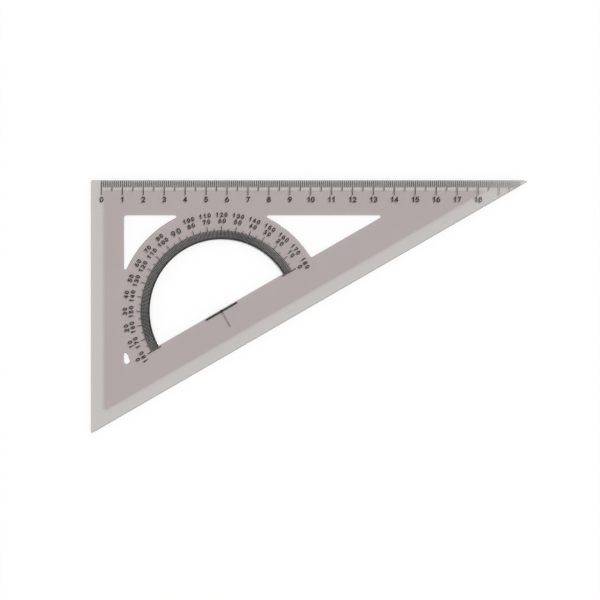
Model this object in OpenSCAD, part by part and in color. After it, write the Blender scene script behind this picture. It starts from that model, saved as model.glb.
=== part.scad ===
// Drafting triangle, 30-60-90 degrees, with a half-circle protractor inside its frame.
// One clear plate, printed on its flat top face. Its drawing edges, the three outer ones and
// the protractor's arc, are thin lips, stepped on the underside so that ink can't creep under.
// Millimetres. The plate lies on z = 0, with its ruler edge along X on the +Y side.

/* [Plate] */
// Long leg, the ruler edge, measured to the sharp corners
long_leg = 210; // [190:0.5:240]
// Thickness of the plate
plate_t = 2; // [1.6:0.1:3]
// Thickness of the lips along the drawing edges
lip_t = 1.2; // [0.8:0.1:1.4]
// Width of the lips along the short leg and the hypotenuse
lip_w = 5.9; // [3:0.1:7]
// Width of the lip along the ruler edge
ruler_lip_w = 5; // [3:0.1:7]
// Radius of the three outer corners
corner_r = 0.6; // [0.3:0.1:1.5]

/* [Frame] */
// Width of the bar along the short leg
short_bar = 15.9; // [13:0.1:20]
// Width of the bar along the ruler edge
ruler_bar = 16.7; // [14:0.1:20]
// Width of the bar along the hypotenuse
long_bar = 20.3; // [16:0.1:24]
// Radius in the square and blunt corners of the openings
opening_r = 1.2; // [0.4:0.1:1.3]
// Radius in the sharp corners of the openings
cusp_r = 0.7; // [0.3:0.1:1]

/* [Protractor] */
// Width of the ring that carries the degree scale
ring_w = 15.3; // [12:0.1:18]
// Width of the lip along the arc
arc_lip_w = 4.3; // [3:0.1:6]
// How far the ring runs into the bar along the short leg
ring_bite = 3; // [1:0.1:5]
// From the straight side of the half-round opening to the baseline through the centre
baseline_drop = 0.8; // [0.7:0.1:3]

/* [Ruler scale] */
// From the short leg to the zero tick
zero_inset = 5.2; // [4:0.1:10]
// From the edge to the end of a millimetre tick
mm_reach = 3.3; // [2:0.1:4.5]
// From the edge to the end of a half-centimetre tick
half_cm_reach = 5.1; // [4:0.1:6.5]
// From the edge to the end of a centimetre tick
cm_reach = 7.1; // [5.5:0.1:9]
// Length kept bare at the sharp corner
ruler_end_gap = 3; // [2:0.1:8]

/* [Degree scale] */
// From the arc to the end of a one-degree tick
degree_reach = 4.4; // [3:0.1:5]
// From the arc to the end of a five-degree tick
five_degree_reach = 5.3; // [4:0.1:6]
// From the arc to the end of a ten-degree tick
ten_degree_reach = 6.5; // [5:0.1:8]
// How far the baseline marks start inside the arc
baseline_run_in = 1; // [0:0.1:3]
// Width of the baseline marks
baseline_mark_w = 0.45; // [0.3:0.05:0.8]
// Length of the bar at the centre
centre_bar_len = 17.1; // [8:0.1:24]
// Width of the bar at the centre
centre_bar_w = 0.85; // [0.4:0.05:1.4]
// Diameter of the dot at the centre
centre_dot_d = 1.5; // [0.6:0.05:1.6]
// Length of the pointer from the centre towards the hypotenuse
centre_pointer_len = 8.5; // [4:0.1:11]
// Width of the pointer
centre_pointer_w = 0.25; // [0.15:0.05:0.5]

/* [Print] */
// Width of a tick on the ruler
tick_w = 0.35; // [0.15:0.05:0.4]
// Width of a tick on the degree scale
degree_tick_w = 0.45; // [0.15:0.05:0.5]
// Width of the tail by which a five-degree or ten-degree tick is longer
degree_tail_w = 0.3; // [0.15:0.05:0.5]
// Thickness of the ink
ink_t = 0.05; // [0.02:0.01:0.1]
// Bare margin between the ink and an edge
edge_gap = 0.2; // [0.1:0.05:0.5]

/* [Hidden] */
$fn = 180;

smoke = [0.69, 0.66, 0.655];
ink = [0.1, 0.1, 0.1];

// The sharp corner, and the plan: right angle at [0, 0], ruler edge along +X, short leg along -Y
tip_angle = 30;
rise = sin(tip_angle);
run = cos(tip_angle);
short_leg = long_leg * tan(tip_angle);
step_h = plate_t - lip_t;

// The protractor's centre is as far from one leg as from the other, on the baseline
centre_inset = (long_leg * rise - long_bar + baseline_drop) / (rise + run);
centre = [centre_inset, -centre_inset];
ring_r = centre_inset - short_bar + ring_bite;
arc_r = ring_r - ring_w;

// The frame's inner edges, each as a point on it, its direction into the window and its fillet to the ring
inner_edges = [[[short_bar, 0], [1, 0], cusp_r],
               [[0, -ruler_bar], [0, -1], cusp_r],
               [[long_leg, 0] + long_bar * [-rise, run], [-rise, run], opening_r]];

// Arcs that round a corner are larger by this, so that they cross its edges instead of touching them
arc_lap = 0.002;

// What the rounded corners take off the plan's length and width
tip_setback = corner_r * (1 / tan(tip_angle / 2) - 1);
heel_setback = corner_r * (1 / tan((90 - tip_angle) / 2) - 1);
plan_size = [long_leg - tip_setback, short_leg - heel_setback];

// The ruler's whole centimetres, in millimetres
mm_per_cm = 10;
ruler_len = mm_per_cm * floor((long_leg - zero_inset - ruler_end_gap) / mm_per_cm);
half_turn = 180;

// Degree ticks never cover more of their pitch at the arc than this share, so that they stay apart
densest = 0.75;
degree_pitch = (arc_r + edge_gap) * PI / half_turn;
degree_w = min(degree_tick_w, densest * degree_pitch);
tail_w = min(degree_tail_w, degree_w);

function unit(v) = v / norm(v);
function turned_left(v) = [-v.y, v.x];

// Corners of the plan with its sides moved in, in the order right angle, tip, heel
function inset_corners(from_short, from_ruler, from_long) = [
    [from_short, -from_ruler],
    [long_leg - (from_long + from_ruler * run) / rise, -from_ruler],
    [from_short, (from_long - (long_leg - from_short) * rise) / run]
];

// Sets the middle of the plan's bounding box over the origin
module on_table() {
    translate([-plan_size.x / 2, plan_size.y / 2, 0]) children();
}

// A triangle whose corners are true arcs, each with its own radius
module rounded_triangle(corners, radii) {
    arcs = [for (i = [0:2])
        let (v = corners[i],
             r = radii[i],
             back = unit(corners[(i + 2) % 3] - v),
             ahead = unit(corners[(i + 1) % 3] - v),
             half = acos(back * ahead) / 2)
        [v + back * r / tan(half), v + ahead * r / tan(half), v + unit(back + ahead) * r / sin(half)]];
    polygon([for (a = arcs) each [a[0], a[1]]]);
    for (i = [0:2])
        translate(arcs[i][2]) circle(radii[i] + arc_lap);
}

// Fills the cusp where the ring meets a frame edge, up to an arc of that edge's fillet radius
module cusp_fill(edge, side) {
    inward = edge[1];
    r = edge[2];
    along = side * turned_left(inward);
    height = (centre - edge[0]) * inward;
    if (ring_r > abs(height)) {
        cusp = centre - inward * height + along * sqrt(pow(ring_r, 2) - pow(height, 2));
        lift = r - height;
        arc_centre = centre + inward * lift + along * sqrt(pow(ring_r + r, 2) - pow(lift, 2));
        to_ring = unit(centre - arc_centre);
        difference() {
            polygon([arc_centre, arc_centre - inward * 2 * r, 2 * cusp - arc_centre,
                     arc_centre + to_ring * 2 * r]);
            translate(arc_centre) circle(r + arc_lap);
        }
    }
}

// The openings between the frame and the ring
module frame_openings() {
    difference() {
        rounded_triangle(inset_corners(short_bar, ruler_bar, long_bar), [opening_r, cusp_r, opening_r]);
        translate(centre) circle(ring_r);
        for (edge = inner_edges, side = [-1, 1])
            cusp_fill(edge, side);
    }
}

// The half-round opening, with its arc moved out by set_back
module arc_opening(set_back) {
    intersection() {
        polygon(inset_corners(short_bar, ruler_bar, long_bar));
        translate(centre) circle(arc_r + set_back);
    }
}

// Plan of the plate with its outer sides and its arc moved in by the given lips
module plate_plan(side_lip, ruler_lip, arc_lip) {
    difference() {
        rounded_triangle(inset_corners(side_lip, ruler_lip, side_lip), [corner_r, corner_r, corner_r]);
        frame_openings();
        arc_opening(arc_lip);
    }
}

module triangle_plate() {
    color(smoke) on_table() {
        linear_extrude(step_h) plate_plan(lip_w, ruler_lip_w, arc_lip_w);
        translate([0, 0, step_h]) linear_extrude(lip_t) plate_plan(0, 0, 0);
    }
}

// A film of ink on the top face
module printed() {
    color(ink) on_table()
        translate([0, 0, plate_t]) linear_extrude(ink_t) children();
}

// A tick on the ruler edge, cut short where the hypotenuse comes in
module ruler_tick(mm, reach) {
    x = zero_inset + mm;
    room = ((long_leg - x - tick_w / 2) * rise - edge_gap) / run;
    end = min(reach, room);
    translate([x - tick_w / 2, -end]) square([tick_w, end - edge_gap]);
}

module millimetre_ticks() {
    printed()
        for (mm = [1:ruler_len])
            if (mm % (mm_per_cm / 2) != 0) ruler_tick(mm, mm_reach);
}

module half_centimetre_ticks() {
    printed()
        for (mm = [mm_per_cm / 2:mm_per_cm:ruler_len])
            ruler_tick(mm, half_cm_reach);
}

module centimetre_ticks() {
    printed()
        for (mm = [0:mm_per_cm:ruler_len])
            ruler_tick(mm, cm_reach);
}

// Turns a mark drawn along X to an angle on the degree scale, counted from the baseline
module at_angle(angle) {
    translate(centre) rotate(tip_angle + angle) children();
}

// A mark across the arc, from one distance outside it to another
module radial_mark(from, to, w) {
    translate([arc_r + from, -w / 2]) square([to - from, w]);
}

// A tick of the degree scale, with a thin tail where it reaches further than the one-degree ticks
module degree_tick(reach) {
    radial_mark(edge_gap, min(reach, degree_reach), degree_w);
    radial_mark(edge_gap, reach, tail_w);
}

module degree_ticks() {
    printed()
        for (angle = [1:half_turn - 1])
            if (angle % 5 != 0) at_angle(angle) degree_tick(degree_reach);
}

module five_degree_ticks() {
    printed()
        for (angle = [5:10:half_turn - 1])
            at_angle(angle) degree_tick(five_degree_reach);
}

module ten_degree_ticks() {
    printed()
        for (angle = [10:10:half_turn - 1])
            at_angle(angle) degree_tick(ten_degree_reach);
}

module baseline_marks() {
    printed()
        for (angle = [0, half_turn])
            at_angle(angle) radial_mark(-baseline_run_in, ten_degree_reach, baseline_mark_w);
}

module centre_mark() {
    printed() {
        at_angle(0) square([centre_bar_len, centre_bar_w], center = true);
        at_angle(0) circle(d = centre_dot_d);
        at_angle(-90) translate([0, -centre_pointer_w / 2]) square([centre_pointer_len, centre_pointer_w]);
    }
}

triangle_plate();
millimetre_ticks();
half_centimetre_ticks();
centimetre_ticks();
degree_ticks();
five_degree_ticks();
ten_degree_ticks();
baseline_marks();
centre_mark();
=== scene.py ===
import math

import bpy
import numpy as np
from mathutils import Euler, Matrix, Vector
from mathutils.geometry import delaunay_2d_cdt


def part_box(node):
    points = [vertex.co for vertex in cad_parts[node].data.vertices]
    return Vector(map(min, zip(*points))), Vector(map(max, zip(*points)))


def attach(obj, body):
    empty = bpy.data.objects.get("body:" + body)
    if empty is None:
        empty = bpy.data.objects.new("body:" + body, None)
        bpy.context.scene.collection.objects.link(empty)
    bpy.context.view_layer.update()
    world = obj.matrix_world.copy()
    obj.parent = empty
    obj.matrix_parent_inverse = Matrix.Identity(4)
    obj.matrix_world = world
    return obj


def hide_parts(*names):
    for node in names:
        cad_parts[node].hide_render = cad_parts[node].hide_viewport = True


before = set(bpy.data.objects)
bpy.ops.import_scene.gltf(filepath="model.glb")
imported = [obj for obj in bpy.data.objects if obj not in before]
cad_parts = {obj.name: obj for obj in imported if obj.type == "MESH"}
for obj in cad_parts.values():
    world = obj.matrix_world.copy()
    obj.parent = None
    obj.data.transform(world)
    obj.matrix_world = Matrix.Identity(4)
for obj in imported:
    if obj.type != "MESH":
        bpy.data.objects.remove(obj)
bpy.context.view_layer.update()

# The plate is one injection moulding of clear smoke-grey plastic, polished on both faces.
# Its outer edges and the protractor's arc are thin lips, raised on the underside by a sloping step so that
# ink can't creep under them. Its upper edges are rounded and its lower ones chamfered by the mould.
mm = 0.001
lip_thickness = 1.2 * mm
# How far in from each edge the step under the lip begins, and where it reaches the underside
step_head = {"short": 5.3 * mm, "ruler": 4.3 * mm, "long": 5.3 * mm, "arc": 3.5 * mm}
step_foot = {"short": 6.9 * mm, "ruler": 5.4 * mm, "long": 6.9 * mm, "arc": 5.1 * mm}
corner_radius = 0.6 * mm
opening_radius = 1.2 * mm
cusp_radius = 0.7 * mm
lip_radius = 0.3 * mm
edge_radius = 0.15 * mm
lip_chamfer = {"short": 0.1 * mm, "ruler": 0.3 * mm, "long": 0.33 * mm}
arc_chamfer = 0.85 * mm
opening_chamfer = 0.18 * mm
foot_chamfer = 0.04 * mm
ring_width = 15.3 * mm
ring_bite = 3 * mm
ink_bond = 0.01 * mm
bar_width = {"short": 15.9 * mm, "ruler": 16.7 * mm, "long": 20.3 * mm}
ring_fillet = {"short": cusp_radius, "ruler": cusp_radius, "long": opening_radius}
corner_steps = 9
ring_arc_steps = 61
half_round_steps = 181
edge_steps = 6
crease_angle = math.radians(22)

# Each side is a line that faces outwards at an angle, at a distance from the right-angled corner
tip_angle = math.radians(30)
side_angle = {"short": math.pi, "long": tip_angle + 1.5 * math.pi, "ruler": math.pi / 2}
plate_low, plate_high = (np.array(corner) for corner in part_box("triangle_plate"))
right_angle = np.array([plate_low[0], plate_high[1]])
tip_setback = corner_radius * (1 / math.tan(tip_angle / 2) - 1)
long_leg = plate_high[0] - plate_low[0] + tip_setback
side_reach = {"short": 0, "long": long_leg * math.sin(tip_angle), "ruler": 0}

# The two baseline marks lie opposite each other, so the middle of their box is the protractor's centre
marks_low, marks_high = (np.array(corner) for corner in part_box("baseline_marks"))
centre = (marks_low + marks_high)[:2] / 2 - right_angle
ring_radius = centre[0] - bar_width["short"] + ring_bite
arc_radius = ring_radius - ring_width

plate_top = plate_high[2] + ink_bond
plate_bottom = plate_low[2]
lip_bottom = plate_high[2] - lip_thickness


def outward(side):
    """The unit vector that a side faces along."""
    return np.array([math.cos(side_angle[side]), math.sin(side_angle[side])])


def turned_past(angle, start):
    """The angle raised by whole turns until it comes after start."""
    return start + (angle - start) % math.tau


def arc(middle, radius, start, end, steps):
    """Points of an arc: the middle plus the radius times the unit vectors of evenly spaced angles."""
    turn = np.linspace(start, end, steps)
    return middle + radius * np.column_stack([np.cos(turn), np.sin(turn)])


def inside_corner(side_a, depth_a, side_b, depth_b):
    """The point at two depths inside two sides, where the two inset lines cross."""
    reaches = [side_reach[side_a] - depth_a, side_reach[side_b] - depth_b]
    return np.linalg.solve([outward(side_a), outward(side_b)], reaches)


def beside_ring(side, way):
    """The middle of the fillet between a bar and the ring: where the bar's edge, moved in by the fillet's
    radius, crosses the ring's circle grown by it, behind the ring for way -1 and past it for way 1."""
    facing = outward(side)
    along = np.array([-facing[1], facing[0]])
    height = side_reach[side] - bar_width[side] - ring_fillet[side] - centre @ facing
    half_chord = math.sqrt((ring_radius + ring_fillet[side]) ** 2 - height**2)
    return centre + facing * height + along * way * half_chord


def heading(origin, target):
    """The angle of the direction from one point to another."""
    return math.atan2(*(target - origin)[::-1])


plate_corners = (("short", "long"), ("long", "ruler"), ("ruler", "short"))


def around_plate(width):
    """A width given for each side as one value for each point of the plate's outline: round each corner it
    runs evenly from one side's width to the next side's."""
    return np.concatenate([np.linspace(width[a], width[b], corner_steps) for a, b in plate_corners])


def plate_outline(inset, cut):
    """The triangle with its sides moved in by their insets: three corner arcs joined by straight lines, all
    drawn in by cut, which is one value or one for each point."""
    depth = {side: inset[side] + corner_radius for side in side_angle}
    arc_middles = [inside_corner(a, depth[a], b, depth[b]) for a, b in plate_corners]
    outline = np.concatenate([
        arc(middle, corner_radius, side_angle[a], turned_past(side_angle[b], side_angle[a]), corner_steps)
        for middle, (a, b) in zip(arc_middles, plate_corners)
    ])
    middles = np.repeat(arc_middles, corner_steps, axis=0)
    share_left = 1 - np.broadcast_to(cut, len(outline)) / corner_radius
    return middles + (outline - middles) * share_left[:, None]


def frame_outline(side_a, side_b, rounding, cut):
    """An opening between two bars and the ring: a corner arc, a fillet onto the ring, the ring's arc
    and a fillet off it, all widened by cut."""
    depth_a, depth_b = bar_width[side_a] + rounding, bar_width[side_b] + rounding
    corner = inside_corner(side_a, depth_a, side_b, depth_b)
    onto, off = beside_ring(side_b, -1), beside_ring(side_a, 1)
    first, second = side_angle[side_a], side_angle[side_b]
    join = turned_past(heading(onto, centre), second)
    leave = heading(off, centre)
    arrive = turned_past(heading(centre, onto), heading(centre, off))
    return np.concatenate([
        arc(corner, rounding + cut, first, turned_past(second, first), corner_steps),
        arc(onto, ring_fillet[side_b] + cut, second, join, corner_steps),
        arc(centre, ring_radius - cut, arrive, heading(centre, off), ring_arc_steps)[1:-1],
        arc(off, ring_fillet[side_a] + cut, leave, turned_past(first, leave), corner_steps),
    ])


def half_round_outline(inset, cut, straight_cut):
    """The protractor's opening: the arc moved out by its inset and by cut, between the points where the
    long bar's edge, moved out by straight_cut, crosses it."""
    radius = arc_radius + inset["arc"] + cut
    height = side_reach["long"] - bar_width["long"] + straight_cut - centre @ outward("long")
    lean = math.acos(height / radius)
    facing = side_angle["long"]
    return arc(centre, radius, facing + lean, facing + math.tau - lean, half_round_steps)


# Profile of a wall from the top face down, as rows of the insets, a cut and a height
no_inset = dict.fromkeys(step_head, 0)


def rounded(radius):
    """The rows of an upper edge with its corner rounded off by a quarter circle."""
    return [(no_inset, radius * (1 - math.sin(turn)), plate_top - radius * (1 - math.cos(turn)))
            for turn in np.linspace(0, math.pi / 2, edge_steps)]


def chamfered(inset, chamfer, height):
    """The two rows of a lower edge with its corner taken off at 45 degrees."""
    return [(inset, 0, height + chamfer), (inset, chamfer, height)]


lip_top, edge_top = rounded(lip_radius), rounded(edge_radius)
lip_edge = chamfered(no_inset, around_plate(lip_chamfer), lip_bottom)
arc_lip_edge = chamfered(no_inset, arc_chamfer, lip_bottom)
step = [(step_head, 0, lip_bottom)] + chamfered(step_foot, foot_chamfer, plate_bottom)
opening_edge = chamfered(no_inset, opening_chamfer, plate_bottom)


def raised(outline, height):
    """A plan outline, measured from the right-angled corner, as points of the part at one height or at
    one for each point."""
    return np.column_stack([outline + right_angle, np.broadcast_to(height, len(outline))])


def grid_quads(levels, columns, closed):
    """Quads between neighbouring levels and columns of a grid of points, by row and column numbers."""
    row = np.arange(levels - 1)[:, None]
    column = np.arange(columns if closed else columns - 1)
    after = (column + 1) % columns
    corners = (row * columns + column, row * columns + after,
               (row + 1) * columns + after, (row + 1) * columns + column)
    return np.stack(corners, axis=-1).reshape(-1, 4)


outer_wall = np.stack([raised(plate_outline(inset, cut), z) for inset, cut, z in lip_top + lip_edge + step])
openings = (("ruler", "short", opening_radius), ("long", "ruler", cusp_radius),
            ("short", "long", opening_radius))
frame_walls = [np.stack([raised(frame_outline(*opening, cut), z) for _, cut, z in edge_top + opening_edge])
               for opening in openings]
half_round_rows = ([(inset, cut, cut, z) for inset, cut, z in edge_top]
                   + [(inset, cut, 0, z) for inset, cut, z in arc_lip_edge]
                   + [(inset, cut, cut, z) for inset, cut, z in step])
half_round_wall = np.stack([raised(half_round_outline(inset, cut, straight_cut), z)
                            for inset, cut, straight_cut, z in half_round_rows])

walls = [outer_wall, *frame_walls, half_round_wall]
first_points = np.cumsum([0] + [wall.shape[0] * wall.shape[1] for wall in walls])
plate_points = np.concatenate([wall.reshape(-1, 3) for wall in walls])
wall_faces = grid_quads(*outer_wall.shape[:2], True)[:, ::-1].tolist()
for wall, first_point in zip(frame_walls, first_points[1:]):
    wall_faces += (grid_quads(*wall.shape[:2], True) + first_point).tolist()

# The half-round opening's straight side has no lip: two rounded strips, and one wall between them that
# is wider below the lip than above it
levels = len(half_round_rows)
ends = first_points[-2] + np.arange(levels) * half_round_steps
arc_start, arc_end = ends, ends + half_round_steps - 1
strips = [*range(edge_steps - 1), levels - 2]
straight = np.arange(edge_steps - 1, levels - 1)
wall_faces += (grid_quads(levels, half_round_steps, False) + first_points[-2]).tolist()
wall_faces += [[arc_end[i], arc_start[i], arc_start[i + 1], arc_end[i + 1]] for i in strips]
wall_faces.append([arc_end[straight[0]], *arc_start[straight], *arc_end[straight[:0:-1]]])

merge_distance = 0.001 * mm
inside_only = 1


def filled(outlines):
    """Delaunay triangles that fill flat outlines drawn counter-clockwise: the points, the triangles'
    corners, the outlines' points that each point was, and the outlines that hold each triangle."""
    starts = np.cumsum([0] + [len(outline) for outline in outlines])
    loops = [list(range(a, b)) for a, b in zip(starts, starts[1:])]
    points, _, triangles, were, _, holders = delaunay_2d_cdt(
        np.concatenate(outlines).tolist(), [], loops, inside_only, merge_distance)
    return np.array(points), np.array(triangles), were, holders


def cap_faces(level):
    """Upward triangles of a flat face: those inside the outer wall's loop and in no opening's loop."""
    numbers = np.concatenate([
        first + np.arange(wall.shape[0] * wall.shape[1]).reshape(wall.shape[:2])[level]
        for wall, first in zip(walls, first_points)
    ])
    _, triangles, were, holders = filled([wall[level][:, :2] for wall in walls])
    solid = triangles[[outlines == [0] for outlines in holders]]
    return numbers[np.array(were)[solid, 0]]


caps = cap_faces(0).tolist() + cap_faces(-1)[:, ::-1].tolist()
plate_mesh = bpy.data.meshes.new("moulded_plate")
plate_mesh.from_pydata(plate_points, [], wall_faces + caps)

# Roundings turn by less than the crease angle from face to face and are shaded smooth, while the step
# and the chamfers turn by more and keep their edges
plate_mesh.polygons.foreach_set("use_smooth", [True] * len(wall_faces) + [False] * len(caps))
plate_mesh.set_sharp_from_angle(angle=crease_angle)
plate = bpy.data.objects.new("moulded_plate", plate_mesh)
bpy.context.collection.objects.link(plate)
even_normals = plate.modifiers.new("even_normals", "WEIGHTED_NORMAL")
even_normals.keep_sharp = True


def add_node(tree, kind, settings=(), **inputs):
    """Adds a shader node, sets its own properties and then its unlinked inputs by their names."""
    made = tree.nodes.new("ShaderNode" + kind)
    for name, value in dict(settings).items():
        setattr(made, name, value)
    for name, value in inputs.items():
        made.inputs[name.replace("_", " ")].default_value = value
    return made


def new_material(name):
    """A material with an empty node tree, and its output node."""
    made = bpy.data.materials.new(name)
    made.use_nodes = True
    made.node_tree.nodes.clear()
    return made, made.node_tree, made.node_tree.nodes.new("ShaderNodeOutputMaterial")


# The plastic lets lamp light and bounced light through clear, so the floor under it is lit in full. Its
# tint and absorption are set for light that crosses it twice, down to the floor and back, so they hold
# painted shade: the plate's own shadow on the floor under it.
smoke, tree, output = new_material("smoke_plastic")
link = tree.links.new
place = add_node(tree, "TexCoord")
clouds = add_node(tree, "TexNoise", Scale=28, Detail=3, Roughness=0.55)
tint_and_painted_shade = add_node(tree, "ValToRGB")
tint_and_painted_shade.color_ramp.elements[0].position = 0.3
tint_and_painted_shade.color_ramp.elements[0].color = (0.748, 0.815, 0.777, 1)
tint_and_painted_shade.color_ramp.elements[1].position = 0.7
tint_and_painted_shade.color_ramp.elements[1].color = (0.772, 0.831, 0.797, 1)
haze = add_node(tree, "TexNoise", Scale=180, Detail=5, Roughness=0.6)
haze_roughness = add_node(tree, "MapRange", From_Min=0.35, From_Max=0.75, To_Min=0.03, To_Max=0.09)
hairline_turn = add_node(tree, "Mapping", Rotation=(0, 0, 0.4), Scale=(12, 1800, 1))
hairlines = add_node(tree, "TexNoise", Scale=1, Detail=2, Roughness=0.5)
hairline_mask = add_node(tree, "MapRange", From_Min=0.68, From_Max=0.76, To_Min=0, To_Max=0.12)
roughness = add_node(tree, "Math", {"operation": "ADD"})
waves = add_node(tree, "TexNoise", Scale=55, Detail=1)
mould_waves = add_node(tree, "Bump", Strength=0.25, Distance=0.02 * mm)
plastic = add_node(tree, "BsdfPrincipled", IOR=1.5, Transmission_Weight=1)
absorption_and_painted_shade = add_node(tree, "VolumeAbsorption", Color=(0.645, 0.51, 0.525, 1), Density=400)
rays = add_node(tree, "LightPath")
clear = add_node(tree, "BsdfTransparent")
for_lamps = add_node(tree, "MixShader")
for_bounces = add_node(tree, "MixShader")
for pattern in (clouds, haze, waves, hairline_turn):
    link(place.outputs["Object"], pattern.inputs["Vector"])
link(clouds.outputs["Fac"], tint_and_painted_shade.inputs["Fac"])
link(tint_and_painted_shade.outputs["Color"], plastic.inputs["Base Color"])
link(haze.outputs["Fac"], haze_roughness.inputs["Value"])
link(hairline_turn.outputs["Vector"], hairlines.inputs["Vector"])
link(hairlines.outputs["Fac"], hairline_mask.inputs["Value"])
link(haze_roughness.outputs["Result"], roughness.inputs[0])
link(hairline_mask.outputs["Result"], roughness.inputs[1])
link(roughness.outputs["Value"], plastic.inputs["Roughness"])
link(waves.outputs["Fac"], mould_waves.inputs["Height"])
link(mould_waves.outputs["Normal"], plastic.inputs["Normal"])
link(rays.outputs["Is Shadow Ray"], for_lamps.inputs["Fac"])
link(plastic.outputs["BSDF"], for_lamps.inputs[1])
link(clear.outputs["BSDF"], for_lamps.inputs[2])
link(rays.outputs["Is Diffuse Ray"], for_bounces.inputs["Fac"])
link(for_lamps.outputs["Shader"], for_bounces.inputs[1])
link(clear.outputs["BSDF"], for_bounces.inputs[2])
link(for_bounces.outputs["Shader"], output.inputs["Surface"])
link(absorption_and_painted_shade.outputs["Volume"], output.inputs["Volume"])
plate_mesh.materials.append(smoke)
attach(plate, "root")
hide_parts("triangle_plate")

# The ticks of both scales, the baseline marks and the centre mark are one film of black ink,
# screen printed on the plate's flat top face. The film is matt, uneven where the screen's mesh was,
# and over the last of the ruler it turns grey, with the square of the way to the plate's sharp tip.
# Over this length before the tip, the ink's colour runs from its black to this lighter grey
greying_length = 42 * mm
grey_ink = (0.46, 0.45, 0.445, 1)
ink, tree, output = new_material("black_ink")
link = tree.links.new
place = add_node(tree, "TexCoord")
mesh_mottle = add_node(tree, "TexNoise", Scale=2500, Detail=2, Roughness=0.6)
ink_shade = add_node(tree, "ValToRGB")
ink_shade.color_ramp.elements[0].position = 0.3
ink_shade.color_ramp.elements[0].color = (0.007, 0.006, 0.006, 1)
ink_shade.color_ramp.elements[1].position = 0.75
ink_shade.color_ramp.elements[1].color = (0.020, 0.016, 0.015, 1)
way_to_tip = add_node(tree, "Mapping", Location=(1 - plate_high[0] / greying_length, 0, 0),
                      Scale=(1 / greying_length, 1, 1))
greyness = add_node(tree, "TexGradient", {"gradient_type": "QUADRATIC"})
# A mix of colours has its share and its two colours at inputs 0, 6 and 7, and its result at output 2
film_shade = add_node(tree, "Mix", {"data_type": "RGBA"})
grey_share, full_colour, grey_colour = (film_shade.inputs[k] for k in (0, 6, 7))
grey_colour.default_value = grey_ink
ink_roughness = add_node(tree, "MapRange", From_Min=0.3, From_Max=0.7, To_Min=0.42, To_Max=0.62)
film_relief = add_node(tree, "Bump", Strength=0.3, Distance=0.01 * mm)
film = add_node(tree, "BsdfPrincipled", IOR=1.45, Specular_IOR_Level=0.2)
link(place.outputs["Object"], mesh_mottle.inputs["Vector"])
link(mesh_mottle.outputs["Fac"], ink_shade.inputs["Fac"])
link(mesh_mottle.outputs["Fac"], ink_roughness.inputs["Value"])
link(mesh_mottle.outputs["Fac"], film_relief.inputs["Height"])
link(place.outputs["Object"], way_to_tip.inputs["Vector"])
link(way_to_tip.outputs["Vector"], greyness.inputs["Vector"])
link(greyness.outputs["Fac"], grey_share)
link(ink_shade.outputs["Color"], full_colour)
link(film_shade.outputs[2], film.inputs["Base Color"])
link(ink_roughness.outputs["Result"], film.inputs["Roughness"])
link(film_relief.outputs["Normal"], film.inputs["Normal"])
link(film.outputs["BSDF"], output.inputs["Surface"])
for name in ("millimetre_ticks", "half_centimetre_ticks", "centimetre_ticks", "degree_ticks",
             "five_degree_ticks", "ten_degree_ticks", "baseline_marks", "centre_mark"):
    printed_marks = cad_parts[name]
    printed_marks.data.materials.clear()
    printed_marks.data.materials.append(ink)

# The ruler's numerals stand under the centimetre ticks, in the same print and the same ink.
# They are drawn as a lettering pen draws them, with strokes of one width and round ends.
numeral_height = 2.7 * mm
numeral_width = 1.85 * mm
numeral_pitch = 1.95 * mm
numeral_pen = 0.52 * mm
numeral_drop = 9.15 * mm
last_numeral = 18
centimetre = 10 * mm
bow_steps = 15
pen_end_steps = 7
ink_bottom, ink_top = (corner[2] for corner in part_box("centimetre_ticks"))


def bow(x, y, half_width, half_height, start, end):
    """An arc of an ellipse about x and y in a digit's unit cell, between two angles in degrees."""
    turn = np.radians(np.linspace(start, end, bow_steps))
    return np.column_stack([x + half_width * np.cos(turn), y + half_height * np.sin(turn)])


six = [bow(0.5, 0.31, 0.5, 0.31, 90, 270), bow(0.5, 0.31, 0.5, 0.31, -90, 90),
       bow(0.88, 0.31, 0.88, 0.69, 98, 180)]
digit_strokes = {
    "0": [bow(0.5, 0.5, 0.5, 0.5, 90, 270), bow(0.5, 0.5, 0.5, 0.5, -90, 90)],
    "1": [[(0.2, 0.78), (0.6, 1), (0.6, 0)]],
    "2": [np.vstack([bow(0.48, 0.71, 0.48, 0.29, 168, -38), [(0, 0), (1, 0)]])],
    "3": [bow(0.46, 0.75, 0.46, 0.25, 155, -90), bow(0.46, 0.26, 0.52, 0.26, 90, -155)],
    "4": [[(0.72, 0), (0.72, 1)], [(0.72, 1), (0, 0.3)], [(0, 0.3), (1, 0.3)]],
    "5": [np.vstack([[(0.92, 1), (0.16, 1)], bow(0.46, 0.32, 0.52, 0.32, 132, -150)])],
    "6": six,
    "7": [[(0, 1), (1, 1), (0.36, 0)]],
    "8": [bow(0.5, 0.76, 0.42, 0.24, 90, 270), bow(0.5, 0.76, 0.42, 0.24, -90, 90),
          bow(0.5, 0.26, 0.5, 0.26, 90, 270), bow(0.5, 0.26, 0.5, 0.26, -90, 90)],
    "9": [1 - stroke for stroke in six],
}


def pen_stroke(path, pen):
    """The outline of a pen's track: the path moved half a pen's width to both sides, mitred at its bends,
    with a half circle round each end."""
    steps = np.diff(path, axis=0)
    steps /= np.linalg.norm(steps, axis=1, keepdims=True)
    before, after = np.vstack([steps[:1], steps]), np.vstack([steps, steps[-1:]])
    ahead = before + after
    ahead /= np.linalg.norm(ahead, axis=1, keepdims=True)
    aside = np.column_stack([-ahead[:, 1], ahead[:, 0]]) * pen / 2
    aside /= np.sum(ahead * after, axis=1, keepdims=True)
    start, end = heading(np.zeros(2), steps[0]), heading(np.zeros(2), steps[-1])
    quarter_turn = math.pi / 2
    return np.concatenate([
        path - aside,
        arc(path[-1], pen / 2, end - quarter_turn, end + quarter_turn, pen_end_steps)[1:-1],
        (path + aside)[::-1],
        arc(path[0], pen / 2, start + quarter_turn, start + 3 * quarter_turn, pen_end_steps)[1:-1],
    ])


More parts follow.
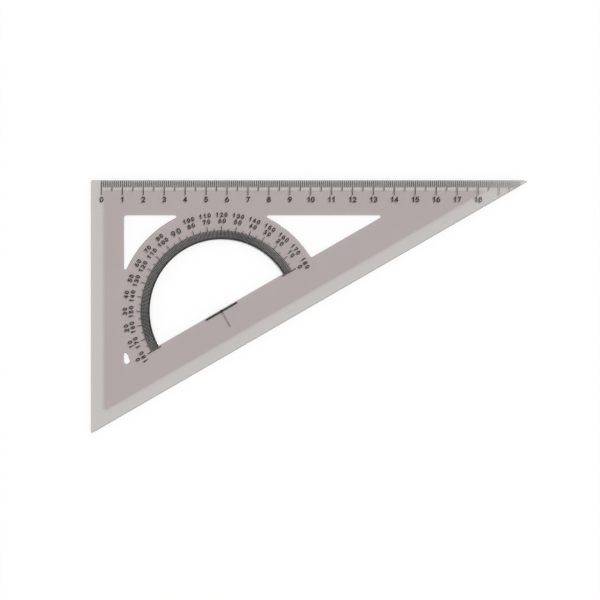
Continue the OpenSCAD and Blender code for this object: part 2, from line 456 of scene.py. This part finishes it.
def numeral_plan(text, height, width, pitch, pen):
    """Flat triangles of a numeral about its middle: its digits' pen strokes, merged where they overlap."""
    outlines = []
    row_middle = (len(text) - 1) / 2
    for place_in_row, digit in enumerate(text):
        digit_middle = (place_in_row - row_middle) * pitch
        corner = np.array([digit_middle - (width - pen) / 2, (pen - height) / 2])
        outlines += [pen_stroke(corner + np.array(stroke) * (width - pen, height - pen), pen)
                     for stroke in digit_strokes[digit]]
    points, triangles, _, holders = filled(outlines)
    return points, triangles[[bool(strokes) for strokes in holders]]


def printed_numerals(name, placed):
    """One film of ink with all the given numerals, each a plan, a middle and a turn from upright."""
    points, triangles, count = [], [], 0
    for (plan, faces), middle, turn in placed:
        turned = plan @ [[math.cos(turn), math.sin(turn)], [-math.sin(turn), math.cos(turn)]]
        points.append(turned + middle)
        triangles.append(faces + count)
        count += len(plan)
    film_mesh = bpy.data.meshes.new(name)
    film_points = np.column_stack([np.concatenate(points), np.full(count, ink_top)])
    film_mesh.from_pydata(film_points, [], np.concatenate(triangles).tolist())
    film_mesh.materials.append(ink)
    made = bpy.data.objects.new(name, film_mesh)
    bpy.context.collection.objects.link(made)
    thickness = made.modifiers.new("film", "SOLIDIFY")
    thickness.thickness = ink_top - ink_bottom
    thickness.offset = -1
    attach(made, "root")


ticks_low, ticks_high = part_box("centimetre_ticks")
tick_width = ticks_high.x - ticks_low.x - centimetre * round((ticks_high.x - ticks_low.x) / centimetre)
zero_tick = ticks_low.x + tick_width / 2
numeral_line = right_angle[1] - numeral_drop
printed_numerals("ruler_numerals", [
    (numeral_plan(str(k), numeral_height, numeral_width, numeral_pitch, numeral_pen),
     (zero_tick + k * centimetre, numeral_line), 0)
    for k in range(last_numeral + 1)
])

# The degree numerals stand in two rows outside the ten-degree ticks, counting up from either end.
# They face outwards along the ring, the inner row leaning a little towards the baseline's ends,
# and the right angle has one larger numeral in place of both rows.
degree_height = 2.2 * mm
degree_width = 1.5 * mm
degree_pitch = 2.07 * mm
degree_pen = 0.46 * mm
inner_row = 43.2 * mm
outer_row = 46.15 * mm
inner_lean = 0.35
upright_height = 2.9 * mm
upright_width = 1.9 * mm
upright_pitch = 2.9 * mm
upright_pen = 0.5 * mm
upright_row = 43.5 * mm
numeral_step = 10
upright = 90
half_turn = 180
protractor = right_angle + centre


def on_ring(row, degrees):
    """The place on a row, and the turn from upright, of a numeral at an angle from the baseline's right
    end."""
    turn = tip_angle + math.radians(degrees)
    return protractor + row * np.array([math.cos(turn), math.sin(turn)]), turn - math.pi / 2


tens = [degrees for degrees in range(0, half_turn + 1, numeral_step) if degrees != upright]
printed_numerals("inner_degree_numerals", [
    (numeral_plan(str(degrees), degree_height, degree_width, degree_pitch, degree_pen),
     *on_ring(inner_row, degrees + math.copysign(inner_lean, degrees - upright)))
    for degrees in tens
])
printed_numerals("outer_degree_numerals", [
    (numeral_plan(str(half_turn - degrees), degree_height, degree_width, degree_pitch, degree_pen),
     *on_ring(outer_row, degrees))
    for degrees in tens
])
printed_numerals("right_angle_numeral", [
    (numeral_plan(str(upright), upright_height, upright_width, upright_pitch, upright_pen),
     *on_ring(upright_row, upright))
])

# The plate casts no shadow on it; the shade it would cast there is painted into the plate's tint and
# absorption.
# The stage is a white floor that keeps the ink's shadows, under an even white sky.
# One broad lamp from the upper right gives the edges their light and dark sides.
floor_half = 6
floor_drop = 0.2 * mm
floor_white = 0.9
sky_level = 0.3
lamp_level = 0.7
lamp_tilt = math.radians(16)
lamp_bearing = math.radians(40)
lamp_spread = math.radians(12)


def background_share(tree):
    """A socket that is 1 for rays that show the background: the camera's, mirrored and refracted ones."""
    path = add_node(tree, "LightPath")
    mirrored = add_node(tree, "Math", {"operation": "MAXIMUM"})
    shown = add_node(tree, "Math", {"operation": "MAXIMUM"})
    tree.links.new(path.outputs["Is Glossy Ray"], mirrored.inputs[0])
    tree.links.new(path.outputs["Is Transmission Ray"], mirrored.inputs[1])
    tree.links.new(path.outputs["Is Camera Ray"], shown.inputs[0])
    tree.links.new(mirrored.outputs["Value"], shown.inputs[1])
    return shown.outputs["Value"]


floor_mesh = bpy.data.meshes.new("floor")
floor_plan = floor_half * np.array([[-1, -1], [1, -1], [1, 1], [-1, 1]])
floor_points = np.column_stack([floor_plan, np.full(len(floor_plan), plate_bottom - floor_drop)])
floor_mesh.from_pydata(floor_points, [], [range(len(floor_points))])
floor = bpy.data.objects.new("floor", floor_mesh)
bpy.context.collection.objects.link(floor)
paper, tree, output = new_material("white_floor")
matt = add_node(tree, "BsdfDiffuse", Color=(floor_white, floor_white, floor_white, 1))
lift = add_node(tree, "Emission")
lift_level = add_node(tree, "Math", {"operation": "MULTIPLY"})
lift_level.inputs[1].default_value = 1 - floor_white * (sky_level + lamp_level)
both = add_node(tree, "AddShader")
tree.links.new(background_share(tree), lift_level.inputs[0])
tree.links.new(lift_level.outputs["Value"], lift.inputs["Strength"])
tree.links.new(matt.outputs["BSDF"], both.inputs[0])
tree.links.new(lift.outputs["Emission"], both.inputs[1])
tree.links.new(both.outputs["Shader"], output.inputs["Surface"])
floor_mesh.materials.append(paper)

sky = bpy.data.worlds.new("white_sky")
sky.use_nodes = True
sky_light = sky.node_tree.nodes["Background"]
sky_light.inputs["Color"].default_value = (1, 1, 1, 1)
sky_strength = add_node(sky.node_tree, "MapRange", To_Min=sky_level, To_Max=1)
sky.node_tree.links.new(background_share(sky.node_tree), sky_strength.inputs["Value"])
sky.node_tree.links.new(sky_strength.outputs["Result"], sky_light.inputs["Strength"])
bpy.context.scene.world = sky

lamp_data = bpy.data.lights.new("lamp", "SUN")
lamp_data.energy = math.pi * lamp_level / math.cos(lamp_tilt)
lamp_data.angle = lamp_spread
lamp = bpy.data.objects.new("lamp", lamp_data)
lamp.rotation_euler = Euler((0, lamp_tilt, lamp_bearing))
bpy.context.collection.objects.link(lamp)

# The camera hangs straight over the plate, as in the photograph, with a long lens.
# Its distance follows from the photograph's scale, and its place from the frame's middle on the plate.
photo_side = 600
photo_pixels_per_mm = 2.0925
photo_middle = (-4.187 * mm, 3.162 * mm)
camera_data = bpy.data.cameras.new("camera")
camera_data.lens = 200
camera_data.sensor_width = 36
view_width = photo_side / photo_pixels_per_mm * mm
camera = bpy.data.objects.new("camera", camera_data)
camera.location = (*photo_middle, plate_high[2] + view_width * camera_data.lens / camera_data.sensor_width)
bpy.context.collection.objects.link(camera)
bpy.context.scene.camera = camera
bpy.context.scene.view_settings.view_transform = "Standard"
